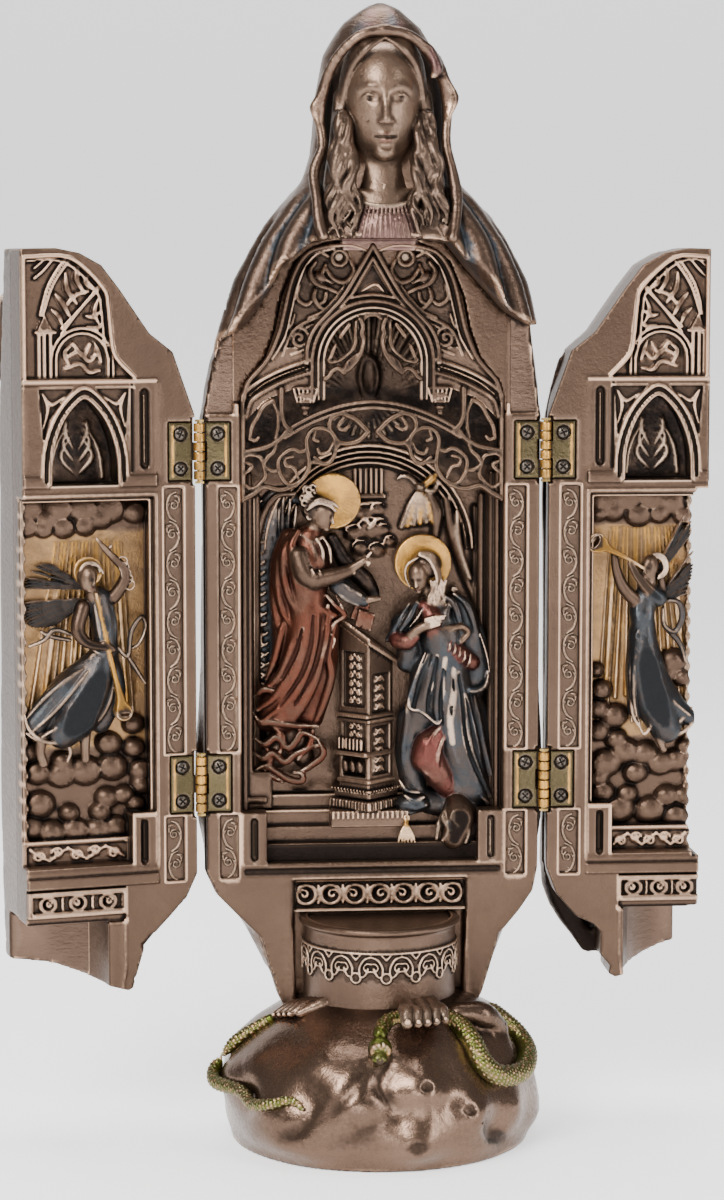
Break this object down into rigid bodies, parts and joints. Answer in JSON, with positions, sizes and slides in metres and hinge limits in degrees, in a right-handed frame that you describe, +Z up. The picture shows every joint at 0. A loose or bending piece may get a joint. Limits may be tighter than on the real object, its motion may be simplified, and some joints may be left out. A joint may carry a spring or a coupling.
{
  "type": "triptych figurine",
  "caption": "Bronze-finished devotional figurine of a veiled woman whose robe front opens as hinged wings onto a carved niche with an annunciation scene.",
  "frame": {"origin": "middle of the flat underside of the rocky base", "axes": "+Z up through the head, the open niche faces -Y, +X to the viewer's right"},
  "size_m": [0.1796, 0.0835, 0.285],
  "materials": {
    "bronze": "antiqued cold-cast bronze, rubbed highlights over dark recesses",
    "aged_brass": "aged, satin",
    "bright_brass": "worn bright",
    "screw_steel": "aged"
  },
  "bodies": {
    "statue": {"statue_body": "bronze", "tracery_screen": "bronze", "hinge_left_upper_leaf_body": "aged_brass", "hinge_left_upper_pin": "bright_brass", "hinge_left_upper_screw_body_1": "screw_steel", "hinge_left_upper_screw_body_2": "screw_steel", "hinge_left_lower_leaf_body": "aged_brass", "hinge_left_lower_pin": "bright_brass", "hinge_left_lower_screw_body_1": "screw_steel", "hinge_left_lower_screw_body_2": "screw_steel", "hinge_right_upper_leaf_body": "aged_brass", "hinge_right_upper_pin": "bright_brass", "hinge_right_upper_screw_body_1": "screw_steel", "hinge_right_upper_screw_body_2": "screw_steel", "hinge_right_lower_leaf_body": "aged_brass", "hinge_right_lower_pin": "bright_brass", "hinge_right_lower_screw_body_1": "screw_steel", "hinge_right_lower_screw_body_2": "screw_steel"},
    "left_wing": {"wing_left": "bronze", "hinge_left_upper_leaf_wing": "aged_brass", "hinge_left_upper_screw_wing_1": "screw_steel", "hinge_left_upper_screw_wing_2": "screw_steel", "hinge_left_lower_leaf_wing": "aged_brass", "hinge_left_lower_screw_wing_1": "screw_steel", "hinge_left_lower_screw_wing_2": "screw_steel"},
    "right_wing": {"wing_right": "bronze", "hinge_right_upper_leaf_wing": "aged_brass", "hinge_right_upper_screw_wing_1": "screw_steel", "hinge_right_upper_screw_wing_2": "screw_steel", "hinge_right_lower_leaf_wing": "aged_brass", "hinge_right_lower_screw_wing_1": "screw_steel", "hinge_right_lower_screw_wing_2": "screw_steel"}
  },
  "joints": [
    {"name": "left_wing_hinge", "type": "hinge", "parent": "statue", "child": "left_wing", "pos_m": [-0.0451, -0.0004, 0.1326], "axis": [0, 0, 1], "range_deg": [-14, 165.5]},
    {"name": "right_wing_hinge", "type": "hinge", "parent": "statue", "child": "right_wing", "pos_m": [0.0419, -0.0004, 0.1326], "axis": [0, 0, -1], "range_deg": [0, 179.5]}
  ]
}
